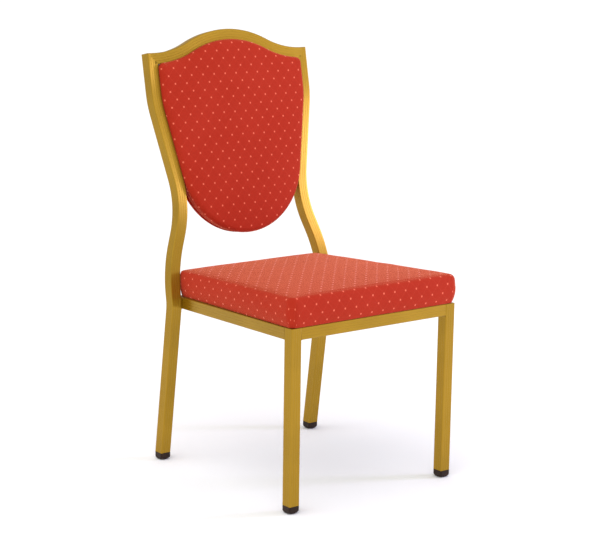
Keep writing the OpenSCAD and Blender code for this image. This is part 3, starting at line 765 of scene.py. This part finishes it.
def seat_profile():
    """Offsets outward and heights of the cushion's side, from below to its top edge.

    With them comes the run of cloth that is left from each point to the top edge.
    """
    shoulder = SEAT_EDGE_HEIGHT - SEAT_EDGE_RADIUS
    foot = SEAT_LIFT + SEAT_HEM
    points = [(-SEAT_TURN_UNDER, SEAT_LIFT + 0.1)]
    points += [(-SEAT_TURN_UNDER / 2, SEAT_LIFT), (-2 * SEAT_HEM, SEAT_LIFT)]
    points += [
        (-SEAT_HEM + SEAT_HEM * sin(t) - SEAT_HEM_INSET, SEAT_LIFT + SEAT_HEM * (1 - cos(t)))
        for t in steps(0, 90, 30)[1:]
    ]
    rows = 12
    for i in range(1, rows + 1):
        k = i / rows
        swelling = 1 - (1 - min(1, k * 1.5)) ** 2
        drawn_in = 0.2 * max(0, k - 0.66) / 0.34
        points.append((SEAT_BULGE * swelling * (1 - drawn_in), foot + (shoulder - foot) * k))
    base = points[-1][0]
    points += [
        (base - SEAT_EDGE_RADIUS * (1 - cos(t)), shoulder + SEAT_EDGE_RADIUS * sin(t))
        for t in steps(0, 90, 9)[1:]
    ]
    points = np.array(points)
    lengths = np.linalg.norm(np.diff(points, axis=0), axis=1)
    run = np.concatenate([[0], np.cumsum(lengths)])
    return points, run[-1] - run


def front_rise(points):
    """The cushion is a little thicker at the front than at the rear."""
    return SEAT_FRONT_RISE * (1 - 2 * points[:, 1] / CUSHION_REAR)


def make_seat(cloth):
    """The seat cushion: rings up its side, then a crown blown up over its top."""
    cores, ways = seat_outline()
    profile, left_to_run = seat_profile()
    centre = np.array((0, CUSHION_REAR / 2))
    least_reach = 1.0
    rings, uvs = [], []
    edge = cores + ways * (SEAT_CORNER + profile[-1][0])
    for (out, z), run in zip(profile, left_to_run):
        reach = SEAT_CORNER + out
        fade = np.ones((len(cores), 1))
        if out > 0:
            loss = SEAT_REAR_BULGE_LOSS * (cores[:, 1] / CUSHION_REAR) ** 2
            fade[:, 0] = (SEAT_CORNER + out * (1 - loss)) / reach
        flat = cores + ways * fade * max(reach, least_reach)
        if reach < least_reach:
            flat = centre + (flat - centre) * (1 + (reach - least_reach) / (CUSHION_REAR / 2))
        share = np.clip((z - SEAT_RISE_FROM) / SEAT_RISE_OVER, 0, 1)
        heights = np.full(len(flat), z) + share * front_rise(flat) - share * corner_drop(edge)
        ring = np.column_stack([flat, heights])
        ring[:, 2] += SEAT_WAVE * share * waves(ring, SEAT_WAVE_SEED, SEAT_WAVE_LENGTH)
        puff = SEAT_PUFF * np.clip(z / SEAT_PUFF_OVER, 0, 1)
        puff = puff * waves(ring, SEAT_PUFF_SEED, SEAT_PUFF_LENGTH)
        ring[:, :2] += ways * puff[:, None]
        rings.append(ring)
        uvs.append((edge + ways * run) / 1000)
    swell = membrane(edge)
    for flat in inner_outlines(edge, centre):
        heights = SEAT_EDGE_HEIGHT + front_rise(flat) + SEAT_CROWN * swell(flat)
        ring = np.column_stack([flat, heights - corner_drop(flat)])
        ring[:, 2] += SEAT_WAVE * waves(ring, SEAT_WAVE_SEED, SEAT_WAVE_LENGTH)
        rings.append(ring)
        uvs.append(flat / 1000)
    rings = [placed(r, SEAT_PLANE) for r in rings]
    first = placed([(0, centre[1], 0.7)], SEAT_PLANE)[0]
    last = rings[-1].mean(axis=0)
    made = loft("seat_cushion", rings, uvs, first, last, (centre / 1000, centre / 1000), cloth)
    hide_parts("seat_cover", "seat_foam")


def shield(inset):
    """Points and outward directions of the shield outline, taken in by inset."""
    # centre, radius, first and last angle of each arc, and the side of it that faces out
    flank_x, flank_s = TOP_X - SHOULDER_RADIUS, TOP_S - SHOULDER_STRAIGHT
    flank_radius = SHOULDER_RADIUS - HALF - inset
    hollow_radius = HOLLOW_RADIUS + TUBE + inset
    pieces = [
        (0, PAD_BOTTOM + PAD_BOTTOM_RADIUS, PAD_BOTTOM_RADIUS - inset, -90, -FLANK_ANGLE, 1),
        (flank_x, flank_s, flank_radius, -FLANK_ANGLE, 0, 1),
        (CORNER_X, CORNER_S, PAD_CORNER - inset, 0, 90 - CORNER_ANGLE, 1),
        (HOLLOW_X, HOLLOW_S, hollow_radius, -90 - CORNER_ANGLE, -90 - TOP_ANGLE, -1),
        (0, ARCH_S - ARCH_RADIUS, ARCH_RADIUS - TUBE - inset, 90 - TOP_ANGLE, 90, 1),
    ]
    small_arc, straight_from, straight_step = 30, 12, 8
    points, ways = [], []
    for cx, cy, r, start, end, side in pieces:
        for t in steps(start, end, 10 if r < small_arc else 2.5):
            here = (cx + r * cos(t), cy + r * sin(t))
            if points and math.dist(points[-1], here) > straight_from:
                before, way = np.array(points[-1]), ways[-1]
                gap = np.array(here) - before
                count = math.ceil(np.linalg.norm(gap) / straight_step)
                for i in range(1, count):
                    points.append(tuple(before + gap * i / count))
                    ways.append(way)
            points.append(here)
            ways.append((side * cos(t), side * sin(t)))
    points, ways = np.array(points), np.array(ways)
    left_points = points[-2:0:-1] * (-1, 1)
    left_ways = ways[-2:0:-1] * (-1, 1)
    return np.concatenate([points, left_points]), np.concatenate([ways, left_ways])


def inside(points, outline):
    """Which points lie inside a closed outline."""
    found = np.zeros(len(points), bool)
    for (x0, y0), (x1, y1) in zip(outline, np.roll(outline, -1, 0)):
        crosses = (points[:, 1] < y0) != (points[:, 1] < y1)
        reach = x0 + (points[:, 1] - y0) * (x1 - x0) / (y1 - y0 if y1 != y0 else 1)
        found ^= crosses & (points[:, 0] < reach)
    return found


def membrane(outline):
    """Height, 0 at the outline and 1 at its highest, of a cloth blown up over the outline."""
    cell, rounds, fullness = 5.0, 2500, 0.62
    low = outline.min(0) - 2 * cell
    count = np.ceil((outline.max(0) - low) / cell).astype(int) + 3
    grid = np.stack(np.meshgrid(*(np.arange(c) for c in count), indexing="ij"), -1)
    free = inside(low + grid.reshape(-1, 2) * cell, outline).reshape(count)
    height = np.zeros(count)
    for _ in range(rounds):
        around = height[:-2, 1:-1] + height[2:, 1:-1] + height[1:-1, :-2] + height[1:-1, 2:]
        height[1:-1, 1:-1] = np.where(free[1:-1, 1:-1], around / 4 + 1, 0)
    height = (height / height.max()) ** fullness

    def at(points):
        place = (points - low) / cell
        base = np.clip(place.astype(int), 0, count - 2)
        fx, fy = (place - base).T
        bx, by = base.T
        near = height[bx, by] * (1 - fy) + height[bx, by + 1] * fy
        far = height[bx + 1, by] * (1 - fy) + height[bx + 1, by + 1] * fy
        return near * (1 - fx) + far * fx

    return at


INNER_RINGS = (0.985, 0.965, 0.94, 0.91, 0.87, 0.82, 0.76, 0.69, 0.61, 0.52, 0.42, 0.31, 0.2, 0.1)


def inner_outlines(edge, centre):
    """The outline drawn in towards the middle, rounder with each step."""
    smoothings = 14
    found = []
    for k in INNER_RINGS:
        for _ in range(smoothings):
            edge = (np.roll(edge, 1, 0) + 2 * edge + np.roll(edge, -1, 0)) / 4
        found.append(centre + (edge - centre) * k)
    return found


def pad_rings(profile, crown, base_y, centre, seed):
    """Rings and UVs of a pad in the plane of the back: its side, then its crown."""
    base, ways = shield(PAD_GAP)
    rings, uvs = [], []
    runs = np.concatenate([[0], np.cumsum(np.linalg.norm(np.diff(profile, axis=0), axis=1))])
    edge = base - ways * profile[-1][0]
    for (inset, y), run in zip(profile, runs):
        flat = base - ways * inset
        ring = np.column_stack([flat[:, 0], np.full(len(flat), y), flat[:, 1]])
        rings.append(ring)
        uvs.append((edge + ways * (runs[-1] - run)) / 1000)
    swell = membrane(edge)
    for flat in inner_outlines(edge, centre):
        ring = np.column_stack([flat[:, 0], base_y + crown * swell(flat), flat[:, 1]])
        ring[:, 1] += PAD_WAVE * waves(ring, seed, PAD_WAVE_LENGTH)
        rings.append(ring)
        uvs.append(flat / 1000)
    return rings, uvs


def make_back(cloth):
    """The back cushion, proud of the frame's front and a little over its edge."""
    centre = np.array((0, (PAD_BOTTOM + TOP_S) / 2))
    front = -HALF - PAD_PROUD
    profile = [(0.8, 0.6), (0.0, -0.4)]
    profile += [(0.0, y) for y in (-4, -8, -12)]
    profile += [(-1.4, -13.2)]
    profile += [
        (PAD_EDGE * (1 - cos(t)) - PAD_BULGE, front + PAD_EDGE * (1 - sin(t)))
        for t in steps(0, 90, 9)
    ]
    rings, uvs = pad_rings(np.array(profile), -PAD_CROWN, front, centre, PAD_SEED)
    rings = [placed(r, BACK_PLANE) for r in rings]
    first = placed([(0, 0.6, centre[1])], BACK_PLANE)[0]
    last = rings[-1].mean(axis=0)
    made = loft("back_cushion", rings, uvs, first, last, (centre / 1000, centre / 1000), cloth)
    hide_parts("back_cover", "back_foam")


def make_rear_panel(cloth):
    """The covered panel that closes the rear of the back, just inside the frame."""
    centre = np.array((0, (PAD_BOTTOM + TOP_S) / 2))
    rear, turn = HALF - PANEL_RECESS, PANEL_TURN
    profile = [(0.4, 6.9), (0.0, 7.4)]
    profile += [(turn * (1 - cos(t)), rear - turn * (1 - sin(t))) for t in steps(0, 90, 15)]
    rings, uvs = pad_rings(np.array(profile), PANEL_CROWN, rear, centre, PANEL_SEED)
    rings = [placed(r[::-1], BACK_PLANE) for r in rings]
    uvs = [u[::-1] for u in uvs]
    first = placed([(0, 6.9, centre[1])], BACK_PLANE)[0]
    last = rings[-1].mean(axis=0)
    made = loft("rear_panel_skin", rings, uvs, first, last, (centre / 1000, centre / 1000), cloth)
    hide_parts("rear_panel_cover")


def make_dust_cover(material):
    """The black cloth stretched under the seat board, sagging a little between its staples."""
    cores, ways = seat_outline()
    centre = np.array((0, CUSHION_REAR / 2))
    edge = cores + ways * (SEAT_CORNER - DUST_CLOTH_INSET)
    rings, uvs = [], []
    for k in (1, 0.97, 0.93, 0.88, 0.8, 0.68, 0.52, 0.34, 0.16):
        flat = centre + (edge - centre) * k
        sag = DUST_CLOTH_SAG * (1 - min(1, k / 0.86) ** 2)
        ring = np.column_stack([flat, np.full(len(flat), DUST_CLOTH_GAP - sag)])
        wave = DUST_CLOTH_WAVE * min(1, max(0, 0.88 - k) * 5)
        ring[:, 2] += wave * waves(ring, DUST_CLOTH_SEED, DUST_CLOTH_WAVE_LENGTH)
        rings.append(ring)
        uvs.append(flat / 1000)
    n, count = len(edge), len(rings)
    lower = np.concatenate([*rings, [(0, centre[1], DUST_CLOTH_GAP - DUST_CLOTH_SAG)]])
    points = placed(np.concatenate([lower, lower + (0, 0, DUST_CLOTH_THICK)]), SEAT_PLANE)
    flat_uvs = np.concatenate([*uvs, [centre / 1000]])
    flat_uvs = np.concatenate([flat_uvs, flat_uvs])
    tip, shift = n * count, n * count + 1
    under = [(tip, (count - 1) * n + (i + 1) % n, (count - 1) * n + i) for i in range(n)]
    for r in range(count - 1):
        a, b = r * n, (r + 1) * n
        under += [(a + (i + 1) % n, a + i, b + i, b + (i + 1) % n) for i in range(n)]
    over = [tuple(v + shift for v in reversed(f)) for f in under]
    rim = [(i, (i + 1) % n, (i + 1) % n + shift, i + shift) for i in range(n)]
    made = build("seat_dust_cloth", points, under + over + rim, flat_uvs, material)
    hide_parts("seat_dust_cover")


def paint_cad(materials):
    """Finishes for the CAD pieces that are shown as they are."""
    pieces = {
        "weld": ("weld_beads", "corner_plates", "back_tabs"),
        "plywood": ("seat_board", "back_board", "rear_panel"),
        "steel": (
            "seat_staples",
            "seat_tee_nuts",
            "seat_bolts",
            "seat_washers",
            "back_screws",
            "panel_clips",
        ),
        "plastic": (
            "glide_front_left",
            "glide_front_right",
            "glide_rear_left",
            "glide_rear_right",
        ),
    }
    for key, names in pieces.items():
        for name in names:
            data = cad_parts[name].data
            data.materials.clear()
            data.materials.append(materials[key])


make_camera()
make_lights()
make_floor()
bpy.context.scene.view_settings.view_transform = "Standard"
make_frame(gold_material())
jacquard = cloth_material("red_jacquard")
make_seat(jacquard)
make_back(jacquard)
make_rear_panel(jacquard)
make_dust_cover(dust_cloth_material())
paint_cad(
    {
        "weld": plain_gold_material(),
        "plywood": plywood_material(),
        "steel": steel_material(),
        "plastic": plastic_material(),
    }
)
